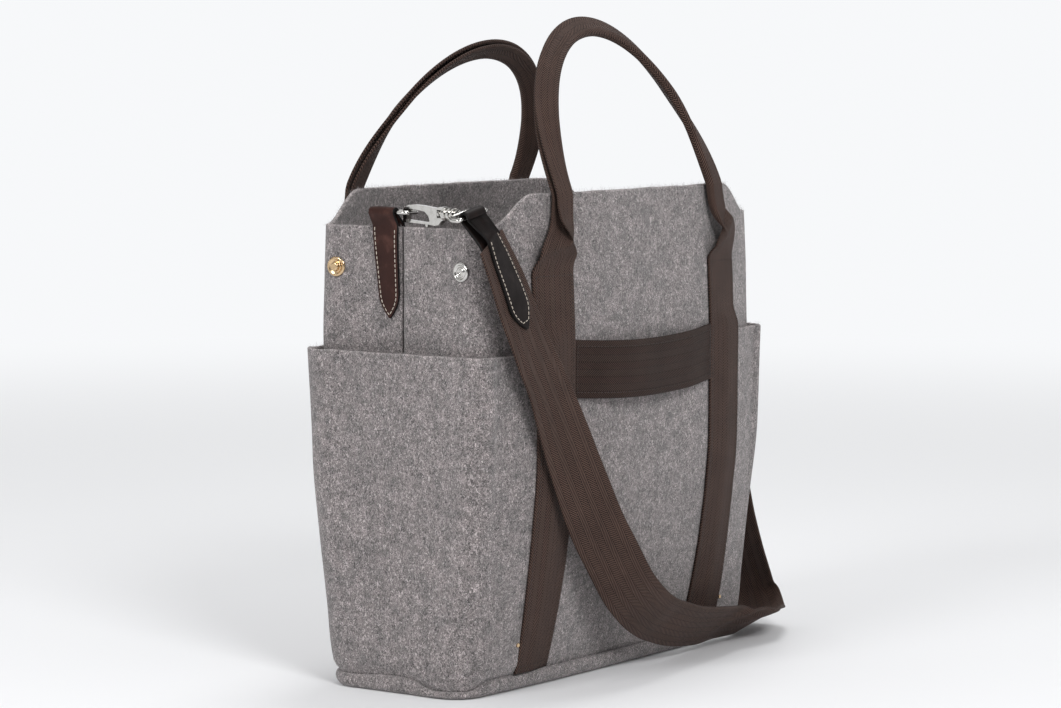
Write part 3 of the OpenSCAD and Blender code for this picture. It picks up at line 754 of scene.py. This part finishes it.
def rim_fuzz():
    """Loose fibres along the cut edges of the body and the pockets."""
    rng = random.Random(7)
    roots = []
    for side in (1, -1):
        for _ in range(BODY_FIBRES):
            u = outline_u(rng.random()) * rng.choice((-1, 1))
            depth = rng.uniform(0, FELT_T)
            p = skin(u, rim_z(u) - 0.4, -depth)
            n = plan_normal(u, 310)
            lean = 1 - 2 * depth / FELT_T
            roots.append(((p.x, side * p.y, p.z), (n[0] * lean, side * n[1] * lean, 1.0)))
    for end in (-1, 1):
        for side in (1, -1):
            for _ in range(POCKET_FIBRES):
                u = outline_u(rng.uniform(0.46, 1))
                depth = rng.uniform(0, FELT_T)
                p = skin(u, POCKET_H - 0.4, pocket_gap(u, POCKET_H) + FELT_T - depth)
                n = plan_normal(u, POCKET_H)
                lean = 1 - 2 * depth / FELT_T
                roots.append(((end * p.x, side * p.y, p.z),
                              (end * n[0] * lean, side * n[1] * lean, 1.0)))
    piece = fibres("rim_fuzz", roots, LIT_FELT_EDGE, 2.6, 0.045, 11)
    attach(piece, "root")


rim_fuzz()

# ---- webbing loops: sewn strap, handle, sewn strap ----
STRAP_MID = STRAP_HALF_GAP + WEB_W / 2
HINGE_Z = JOINTS["front_handle_swing"]["pos_m"][2] / MM
GRIP_T = 6.5
LEG, LEG_FACE, ARCH_FACE = 0.4, 82, 38
FOLD_R = 2.1
GRIP_W, GRIP_SHARE = 15.4, 0.86
PUCKER = 6.5
FOLD_RUN = math.pi * FOLD_R


def over_pocket(x, z):
    return smooth((x - POCKET_EDGE_X + 24) / 22) * smooth((POCKET_H + 18 - z) / 15)


def handle_pos(s, h):
    side = -1 if s < 0 else 1
    k = (1 - abs(s)) / LEG
    angle = math.radians(90 * abs(s) / (1 - LEG))
    foot_x = h["arch"] - abs(h["shift"])
    if k <= 1:
        z = mix(HINGE_Z, FACE_H, k)
        x = side * mix(STRAP_MID, h["arch"], smooth(k)) + h["shift"] * smooth(k)
        off = CLEAR + mix(WEB_T / 2, GRIP_T / 2 + 1, smooth(k / 0.5))
        return Vector((x, on_face(mix(STRAP_MID, foot_x, smooth(k)), z, 0).y - off, z))
    z = FACE_H + h["rise"] * math.cos(angle)
    x = side * h["arch"] * math.sin(angle) + mix(h["shift"], h["top"], math.cos(angle))
    y = on_face(foot_x, FACE_H, 0).y - CLEAR - GRIP_T / 2 - 1 + h["lean"] * (z - FACE_H)
    return Vector((x, y, z))


def handle_frame(s, h):
    """Centre, direction to the inside of the arch, outward normal and how far it is folded."""
    c = handle_pos(s, h)
    t = (handle_pos(min(s + 0.002, 1), h) - handle_pos(max(s - 0.002, -1), h)).normalized()
    front = (Vector((0, -1, 0)) + t.y * t).normalized()
    facing = math.radians(mix(LEG_FACE, ARCH_FACE, smooth((1 - LEG - abs(s)) / 0.25)))
    n = math.cos(facing) * front.cross(t) + math.sin(facing) * front
    fold = smooth(((1 - abs(s)) / LEG - 0.16) / 0.5)
    return c, t.cross(n), n, fold


def folded(q, h, fold):
    """Where a point of the flat webbing goes as its inner half is folded forwards over the outer."""
    before = (WEB_W - FOLD_RUN) / 2
    run = q + WEB_W / 2
    bent = min(max(run - before, 0), FOLD_RUN)
    a = bent / FOLD_R
    x = -GRIP_W / 2 + (min(run, before) - max(run - before - FOLD_RUN, 0)) * GRIP_SHARE
    x += (FOLD_R * math.sin(a) - h * math.sin(a)) * GRIP_SHARE
    y = -FOLD_R + FOLD_R * (1 - math.cos(a)) + h * math.cos(a)
    return mix(q, x, fold), mix(h, y, fold)


def pucker(side, share, q):
    """The fold that stands out above the hinge line, rising from its left to its right."""
    z = share * (FACE_H - HINGE_Z)
    crest = 9 + 14 * (0.5 - side * q / WEB_W)
    if z <= crest:
        return PUCKER * (z / crest) ** 1.3
    return PUCKER * math.exp(-((z - crest) / 13) ** 2)


def loop_place(h):
    """Places a point of a webbing loop. A station is (part, value): a sewn strap's side and height,
    or the share s along the handle."""
    def sewn(x_side, z, q, height):
        x = STRAP_MID - q
        out = CLEAR + (FELT_T + CLEAR) * over_pocket(x, z) + WEB_T / 2 + height
        out += soft_wave(on_face(x, z, 0)) * smooth((z - 12) / 60)
        p = on_face(x, z, out)
        return Vector((x_side * p.x, p.y, p.z))

    def place(station, q, height):
        part, value = station
        if part != 0:
            p = sewn(part, value, q, height)
        else:
            c, inner, out, fold = handle_frame(value, h)
            a, b = folded(q, height, fold)
            p = c + inner * a + out * b
            share = (1 - abs(value)) / LEG
            side = -1 if value < 0 else 1
            if share < 0.45:
                flat = sewn(side, mix(HINGE_Z, FACE_H, share), q, height)
                p = flat.lerp(p, smooth(share / 0.45))
            if share < 1:
                p.y -= pucker(side, share, q)
        return Vector((p.x, h["side"] * p.y, p.z))
    return place


STRAP_ZS = steps(44, BASE_H + 0.4, POCKET_H - 1) + [
    POCKET_H + 2, POCKET_H + 4, POCKET_H + 6, POCKET_H + 8, POCKET_H + 10
] + steps(10, POCKET_H + 10, HINGE_Z - 4)[1:] + [HINGE_Z - 2.5, HINGE_Z - 1]
WEB_PROFILE = strip_profile(WEB_W, WEB_T, 26, 0.9)
HANDLE_ROWS, FOOT_ROWS = 90, 30
HANDLE_END, FOOT_TOP = 0.99, 0.72


def webbing_loop(name, h, nodes, body):
    params = [(-1, z) for z in STRAP_ZS]
    feet = steps(FOOT_ROWS, HANDLE_END, FOOT_TOP)
    params += [(0, -s) for s in feet]
    params += [(0, s) for s in steps(HANDLE_ROWS, -FOOT_TOP, FOOT_TOP)[1:-1]]
    params += [(0, s) for s in reversed(feet)]
    params += [(1, z) for z in reversed(STRAP_ZS)]
    place = loop_place(h)
    piece = ribbon(name, params, place, WEB_PROFILE, WEBBING)
    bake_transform(piece)
    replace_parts(piece, *nodes)

    def row(stations, q, height=WEB_T / 2 + 0.02):
        line = []
        for st in stations:
            p = place(st, q, height)
            line.append((p, p - place(st, q, height - 1)))
        return line

    sewn_rows = []
    for side in (-1, 1):
        strap = [(side, z) for z in STRAP_ZS]
        sewn_rows += [row(strap, q) for q in (-WEB_W / 2 + 2.6, WEB_W / 2 - 2.6)]
        for z in (HINGE_Z - 2.5, BASE_H + 5):
            across = []
            for q in steps(20, -WEB_W / 2 + 1.5, WEB_W / 2 - 1.5):
                p = place((side, z), q, WEB_T / 2 + 0.02)
                across.append((p, p - place((side, z), q, WEB_T / 2 - 1)))
            sewn_rows.append(across)
    threads = stitches("stitching_" + name, sewn_rows, BROWN, 2.0, 2.9, 0.3)
    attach(threads, "root")
    grip = [(0, s) for s in steps(HANDLE_ROWS, -0.80, 0.80)]
    grip_threads = stitches("stitching_grip_" + name, [row(grip, WEB_W / 2 - 3.0)], BROWN,
                            2.0, 2.9, 0.3)
    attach(grip_threads, body)
    return piece


FRONT = {"side": 1, "arch": 90, "rise": 106, "lean": 0.41, "shift": -2, "top": -1}
REAR = {"side": -1, "arch": 93, "rise": 91, "lean": 0.43, "shift": -10, "top": -4}
webbing_loop("webbing_front", FRONT, ["front_left_strap", "front_right_strap", "front_handle"],
             "front_handle")
webbing_loop("webbing_rear", REAR, ["rear_left_strap", "rear_right_strap", "rear_handle"],
             "rear_handle")

# ---- front band ----
BAND_HALF = high("front_band").x
BAND_Z, BAND_SAG, BAND_GAP = 206.5, 3.5, 7.0


def band_place(x, q, height):
    bow = 1 - (x / BAND_HALF) ** 2
    z = BAND_Z - BAND_SAG * bow + q
    out = CLEAR + BAND_GAP * smooth(bow) + WEB_T / 2 + height
    out += 0.8 * smooth(bow) * wobble((x, q, 0), 34, 8) - 0.6 * smooth(bow) * (q / 19) ** 2
    return on_face(x, z, out + soft_wave(on_face(x, z, 0)))


def front_band():
    piece = ribbon("webbing_band", steps(90, -BAND_HALF, BAND_HALF), band_place, WEB_PROFILE,
                   SHADED_BAND_WEBBING)
    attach(piece, "root")
    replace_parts(piece, "front_band")

    def line(spots):
        made = []
        for x, q in spots:
            p = band_place(x, q, WEB_T / 2 + 0.02)
            made.append((p, p - band_place(x, q, WEB_T / 2 - 1)))
        return made

    rows = [line([(x, q) for x in steps(80, -BAND_HALF + 1, BAND_HALF - 1)]) for q in (-15, 15)]
    rows += [line([(x, q) for q in steps(20, -17.5, 17.5)])
             for x in (-BAND_HALF + 2.2, BAND_HALF - 2.2)]
    threads = stitches("stitching_band", rows, BROWN, 2.0, 2.9, 0.32)
    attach(threads, "root")


front_band()

# ---- shoulder strap ----
# Each point of the route with the direction of the webbing's width there.
ROUTE = [
    ((-164, -73, 297), (0.97, 0.2, 0.12)), ((-156, -76, 279), (0.99, 0.1, 0)),
    ((-148, -79, 261), (1, 0, -0.05)), ((-141, -82, 242), (0.99, -0.05, -0.08)),
    ((-133, -85.5, 222), (0.99, -0.08, -0.1)), ((-122, -88, 202), (0.98, -0.1, -0.1)),
    ((-112, -90, 180), (0.96, -0.2, -0.08)), ((-102, -92, 157), (0.93, -0.35, -0.03)),
    ((-91, -95, 131), (0.88, -0.47, 0.05)), ((-78, -97, 106), (0.8, -0.58, 0.15)),
    ((-63, -99, 84), (0.72, -0.62, 0.3)), ((-46, -100, 62), (0.6, -0.64, 0.48)),
    ((-27, -99, 47), (0.42, -0.64, 0.64)), ((-10, -97, 38), (0.25, -0.64, 0.72)),
    ((8, -94, 32), (0.15, -0.64, 0.75)), ((38, -91, 24), (0.1, -0.65, 0.75)),
    ((72, -87, 19), (0.08, -0.67, 0.74)), ((108, -80, 16), (0.04, -0.74, 0.67)),
    ((142, -80, 13), (0, -0.83, 0.56)), ((170, -68, 11), (-0.1, -0.93, 0.35)),
    ((191, -54, 11), (-0.1, -0.98, 0.12)), ((202, -44, 20), (-0.05, -1, 0)),
    ((200, -40, 36), (0, -1, 0)), ((187, -41, 58), (0, -1, 0)),
    ((175, -41, 82), (0, -1, 0.1)), ((171, -38, 106), (0, -0.97, 0.2)),
    ((170, -31, 132), (0, -0.93, 0.36)), ((171.5, -19, 160), (0, -0.91, 0.42)),
    ((173, -6, 188), (0, -0.92, 0.38)), ((174.5, 4, 211), (0, -0.96, 0.25)),
    ((174, 8.5, 230), (0, -1, 0.05)),
]
LAST = len(ROUTE) - 1
STRAP_START = 0.35
STRAP_END_W, LEATHER_T = 21.0, 1.8


def curve_value(part, t):
    i = min(int(t), LAST - 1)
    a, b, c, d = (Vector(ROUTE[min(max(i + n, 0), LAST)][part]) for n in (-1, 0, 1, 2))
    k = t - i
    return 0.5 * (2 * b + (c - a) * k + (2 * a - 5 * b + 4 * c - d) * k * k
                  + (3 * b - a - 3 * c + d) * k ** 3)


def route_frame(t):
    """Centre, width direction, outward normal."""
    d = (curve_value(0, min(t + 0.05, LAST)) - curve_value(0, max(t - 0.05, 0))).normalized()
    w = curve_value(1, t)
    w = (w - w.dot(d) * d).normalized()
    return curve_value(0, t), w, d.cross(w)


# Two soft creases that cross the strap where it turns along the floor: place, slant and height
CREASES = ((16.55, 0.040, 3.2), (17.5, 0.030, 2.6))


def crease(t, q):
    """How far the strap's surface stands out of its smooth course."""
    lift = 0.0
    for place, slant, height in CREASES:
        away = t - place - slant * q
        lift += height * math.exp(-(away / 0.22) ** 2) * smooth((q + 12) / 30)
    return lift + 0.7 * wobble((t * 24, q, 0), 30, 9)


def strap_place(t, q, height):
    c, w, n = route_frame(t)
    return c + w * q + n * (height + crease(t, q))


def shoulder_strap():
    ts = steps(330, STRAP_START, LAST)
    piece = ribbon("shoulder_webbing", ts, strap_place, WEB_PROFILE, WEBBING)
    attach(piece, "root")
    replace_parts(piece, "shoulder_strap")
    centre = [strap_place(t, 0, 0) for t in ts]
    return piece, centre


strap_piece, strap_centre = shoulder_strap()


# ---- leather ----
LEATHER_PROFILE_STEPS = 14


def leather_profile(width):
    return strip_profile(width, LEATHER_T, LEATHER_PROFILE_STEPS, 0.5)


LEATHER_EDGE_POINTS = [LEATHER_PROFILE_STEPS + i for i in range(4)] + [
    2 * LEATHER_PROFILE_STEPS + 4 + i for i in range(4)]


def leather_strip(name, path, material, body, nodes, rows_from):
    """path holds (centre, width direction, width). The outer tongue comes first."""
    last = len(path) - 1
    frames = []
    for i, (p, w, width) in enumerate(path):
        d = (path[min(i + 1, last)][0] - path[max(i - 1, 0)][0]).normalized()
        w = (w - w.dot(d) * d).normalized()
        frames.append((p, w, w.cross(d), width))
    full = max(f[3] for f in frames)

    def place(i, q, height):
        p, w, n, width = frames[i]
        crown = 0.35 * (1 - (2 * q / full) ** 2) if height > 0 else 0
        return p + w * (q * width / full) + n * (height + crown * width / full)

    piece = ribbon(name, range(len(frames)), place, leather_profile(full), material,
                   LEATHER_EDGE, LEATHER_EDGE_POINTS)
    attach(piece, body)
    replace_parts(piece, *nodes)
    first, stop = rows_from

    def spot(i, side):
        width = frames[i][3]
        q = side * max(width / 2 - 2.1, 0) * full / width
        return place(i, q, LEATHER_T / 2 + 0.05), frames[i][2]

    inset = [i for i in range(first, stop) if frames[i][3] > 4.2]
    line = [spot(i, -1) for i in reversed(inset)] + [spot(i, 1) for i in inset]
    threads = stitches("stitching_" + name, [line], CREAM, 2.3, 3.1, 0.3)
    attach(threads, body)
    return piece, threads


RING_BAR = Vector((-JOINTS["right_ring_swing"]["pos_m"][0] / MM, 0,
                   JOINTS["right_ring_swing"]["pos_m"][2] / MM))
RING_WIRE = 1.3
TAB_W, TAB_POINT_Z, TAB_BACK_Z = 20.5, 240.0, 276.0
TAB_Y = (8.0, 11.5)


def point_share(distance, reach):
    """Width share of a pointed tongue at a distance from its tip."""
    k = min(max(distance / reach, 0), 1)
    return 1 - (1 - k) ** 1.9


def leather_tab(name, node_name, end):
    wall_x = -abs(plan(-2.8, 290)[0])
    outer_x = wall_x - CLEAR - LEATHER_T / 2 - 0.3
    inner_x = wall_x + FELT_T + CLEAR + LEATHER_T / 2 + 1.2
    loop_r = RING_WIRE + CLEAR + LEATHER_T / 2
    zs = steps(16, TAB_POINT_Z + 0.3, 258) + steps(20, 258, 300)[1:]
    spots = [(outer_x, z) for z in zs]
    spots += [(RING_BAR.x + loop_r * math.cos(math.radians(a)),
               RING_BAR.z + loop_r * math.sin(math.radians(a))) for a in range(200, -41, -10)]
    spots += [(inner_x, z) for z in (300, 296, 290, 283, TAB_BACK_Z)]
    path = []
    for i, (x, z) in enumerate(spots):
        k = smooth((min(z, END_H) - TAB_POINT_Z) / (END_H - TAB_POINT_Z))
        width = TAB_W
        if i < len(zs):
            width = mix(15, TAB_W, (z - TAB_POINT_Z) / 60) * point_share(z - TAB_POINT_Z, 15)
        path.append((Vector((end * -x, mix(*TAB_Y, k), z)), Vector((0, end, 0)), width))
    leather_strip(name, path, LEATHER_TAB, "root", [node_name], (2, len(zs)))


leather_tab("leather_tab_left", "left_tab", -1)
leather_tab("leather_tab_right", "right_tab", 1)


# The clasps' eyes: the throat is on the swivel's axis, and the bar this far along the clasp from it
THROAT_TO_BAR = 55.3
LEFT_TURN, EYE_TILT, RIGHT_LEAN = math.radians(-9), math.radians(14), math.radians(-7)
EYE_WIRE = 1.5


def eye_bar(right):
    """Middle and direction of the bar that the leather goes round."""
    clasp = "right" if right else "left"
    throat = Vector(JOINTS[clasp + "_clasp_swivel"]["pos_m"]) / MM
    if right:
        along = Vector((-math.sin(RIGHT_LEAN), 0, -math.cos(RIGHT_LEAN)))
        return throat + along * THROAT_TO_BAR, Vector((0, 1, 0))
    along = Vector((math.sin(LEFT_TURN), -math.cos(LEFT_TURN), 0))
    across = Vector((math.cos(LEFT_TURN), math.sin(LEFT_TURN), 0))
    return (throat + along * THROAT_TO_BAR,
            across * math.cos(EYE_TILT) + Vector((0, 0, math.sin(EYE_TILT))))


def strap_end(name, node_name, right):
    side = -1 if right else 1
    bar, bar_dir = eye_bar(right)
    tongue, meet = (2.6, 0.1) if right else (3.3, 0.35)
    up = (Vector((0, 0, 1)) - bar_dir.z * bar_dir).normalized()
    out = bar_dir.cross(up)
    r = EYE_WIRE + CLEAR + LEATHER_T / 2 + 0.8
    off = WEB_T / 2 + CLEAR + LEATHER_T / 2
    neck = STRAP_END_W - 4.5

    def at(t):
        return route_frame(LAST - t if right else t)

    path = []
    for t in steps(40, tongue, 0.1):
        c, w, n = at(t)
        reach = (tongue - t) * 20 + 0.3
        width = mix(neck, STRAP_END_W, smooth((t - 0.1) / 0.9))
        path.append((c + off * n, side * w, width * point_share(reach, 17)))
    count = len(path)
    for a in range(-20, 231, 10):
        turn = math.radians(a)
        path.append((bar + r * (math.cos(turn) * out + math.sin(turn) * up), bar_dir, neck))
    for t in (meet, meet + 0.2, meet + 0.4):
        c, w, n = at(t)
        path.append((c - (off + 0.1) * n, side * w, STRAP_END_W))
    return leather_strip(name, path, LEATHER_DARK, "root", [node_name],
                         (3, count - 1))


left_end = strap_end("leather_end_left", "left_strap_end", False)
right_end = strap_end("leather_end_right", "right_strap_end", True)

# ---- press snaps: turned rings on the ends ----
SNAP_U, SNAP_Z = 2.05, 272.0
# Turned outlines (radius, height), from the rim to the middle
SOCKET = ((6.6, -0.2), (6.6, 0.5), (6.0, 1.2), (5.1, 1.35), (4.5, 0.9), (4.2, 0.2), (3.3, 0.1),
          (3.0, 0.9), (2.4, 1.25), (1.8, 0.9), (1.5, -0.1), (0.02, -0.1))
STUD = ((6.6, -0.2), (6.6, 0.5), (6.0, 1.2), (4.9, 1.3), (4.1, 0.7), (3.4, 0.6), (2.9, 1.2),
        (2.7, 2.3), (2.9, 3.0), (2.5, 3.5), (1.3, 3.6), (0.02, 3.5))


def turned(name, outline, places, material, node_name):
    """Revolves an outline at each (centre, normal)."""
    sides = 40
    points, faces = [], []
    for centre, out in places:
        across = out.cross(Vector((0, 0, 1))).normalized()
        up = across.cross(out)
        rings = []
        for r, h in outline:
            rings.append(list(range(len(points), len(points) + sides)))
            for i in range(sides):
                a = math.tau * i / sides
                points.append(tuple(centre + out * h + (across * math.cos(a) + up * math.sin(a)) * r))
        faces += loft(rings)
    piece = make_object(name, points, faces, material)
    smoother = piece.modifiers.new("round", "SUBSURF")
    smoother.levels = smoother.render_levels = 1
    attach(piece, "root")
    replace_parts(piece, node_name)


def snap_places(side):
    n = plan_normal(SNAP_U, SNAP_Z)
    p = skin(SNAP_U, SNAP_Z, 0.3)
    return [(Vector((end * p.x, side * p.y, p.z)), Vector((end * n[0], side * n[1], 0)))
            for end in (-1, 1)]


turned("snap_rings_socket", SOCKET, snap_places(1), NICKEL, "snap_sockets")
turned("snap_rings_stud", STUD, snap_places(-1), BRASS, "snap_studs")

# ---- metal: the machined nodes stay, with softened edges ----
METAL = [n for n in frame["nodes"] if "_ring" in n or "_clasp_" in n or n == "snap_backs"]


def dress_metal():
    for name in METAL + ["strap_tacks"]:
        o = frame["nodes"][name]
        material = BRASS if name == "strap_tacks" else NICKEL
        o.data.materials.clear()
        o.data.materials.append(material)
        o.data.polygons.foreach_set("use_smooth", [True] * len(o.data.polygons))
        if "hook" in name or "gate" in name:
            edge = o.modifiers.new("soft_edges", "BEVEL")
            edge.width = 0.5 * MM
            edge.segments = 3
            edge.angle_limit = math.radians(40)


dress_metal()


# ---- floor and light ----
WHITE = (0.93, 0.94, 0.955)
FLOOR_REACH, FLOOR_DROP = 60.0, 0.0002


def paper():
    """White paper: lit near the object, fading into the white round the studio further out."""
    m, shader = new_material("paper", (0.84, 0.845, 0.86), 0.75)
    at = object_coords(m)
    far = node(m, "ShaderNodeVectorMath", operation="LENGTH")
    m.node_tree.links.new(at, far.inputs[0])
    fade = node(m, "ShaderNodeMapRange", interpolation_type="SMOOTHSTEP")
    fade.inputs["From Min"].default_value = 0.5
    fade.inputs["From Max"].default_value = 2.6
    join(m, far, fade, "Value")
    glow = node(m, "ShaderNodeEmission")
    glow.inputs["Color"].default_value = (*WHITE, 1)
    both = node(m, "ShaderNodeMixShader")
    join(m, fade, both)
    join(m, shader, both, 0, 1)
    join(m, glow, both, 0, 2)
    join(m, both, m.node_tree.nodes["Material Output"])
    return m


def add_world():
    """White near the horizon, and bright and dark bands above it for the metal to reflect."""
    world = bpy.data.worlds.new("studio")
    bpy.context.scene.world = world
    world.use_nodes = True
    at = node(world, "ShaderNodeTexCoord").outputs["Generated"]
    split = node(world, "ShaderNodeSeparateXYZ")
    world.node_tree.links.new(at, split.inputs[0])
    height = ramp(world, split.outputs["Z"], [
        (0.0, WHITE), (0.22, WHITE), (0.34, grey(0.30)), (0.52, grey(0.10)), (0.60, grey(0.75)),
        (0.80, grey(1.0)), (0.86, grey(0.25)), (1.0, grey(0.5))])
    # a dark stretch of studio on one side, which polished metal picks up
    toward = node(world, "ShaderNodeVectorMath", operation="DOT_PRODUCT")
    toward.inputs[1].default_value = (-0.81, -0.57, 0.1)
    world.node_tree.links.new(at, toward.inputs[0])
    dark = ramp(world, toward.outputs["Value"], [
        (0.55, grey(1.0)), (0.74, grey(0.16)), (0.90, grey(0.10)), (0.94, grey(0.9)),
        (0.965, grey(0.12))])
    background = world.node_tree.nodes["Background"]
    world.node_tree.links.new(
        blend_colours(world, 1.0, height.outputs["Color"], dark.outputs["Color"], "MULTIPLY"),
        background.inputs["Color"])
    background.inputs["Strength"].default_value = 1.0


def panel(name, place, size, power):
    light = bpy.data.lights.new(name, "AREA")
    light.shape = "DISK"
    light.size = size
    light.energy = power
    o = bpy.data.objects.new(name, light)
    bpy.context.scene.collection.objects.link(o)
    o.location = place
    o.rotation_mode = "QUATERNION"
    o.rotation_quaternion = (Vector(place) - TARGET).to_track_quat("Z", "Y")


def studio():
    mesh = bpy.data.meshes.new("floor")
    reach = FLOOR_REACH
    mesh.from_pydata([(-reach, -reach, 0), (reach, -reach, 0), (reach, reach, 0),
                      (-reach, reach, 0)], [], [(0, 1, 2, 3)])
    mesh.materials.append(paper())
    floor = bpy.data.objects.new("floor", mesh)
    bpy.context.scene.collection.objects.link(floor)
    floor.location.z = min(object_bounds()[0].z, 0) - FLOOR_DROP
    floor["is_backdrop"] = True
    add_world()
    panel("key", (-1.3, -2.2, 1.9), 1.0, 44)
    panel("side", (-2.4, 0.2, 1.5), 0.9, 26)
    panel("top", (0.7, 0.2, 2.3), 0.9, 16)


studio()
bpy.context.scene.view_settings.view_transform = "Standard"
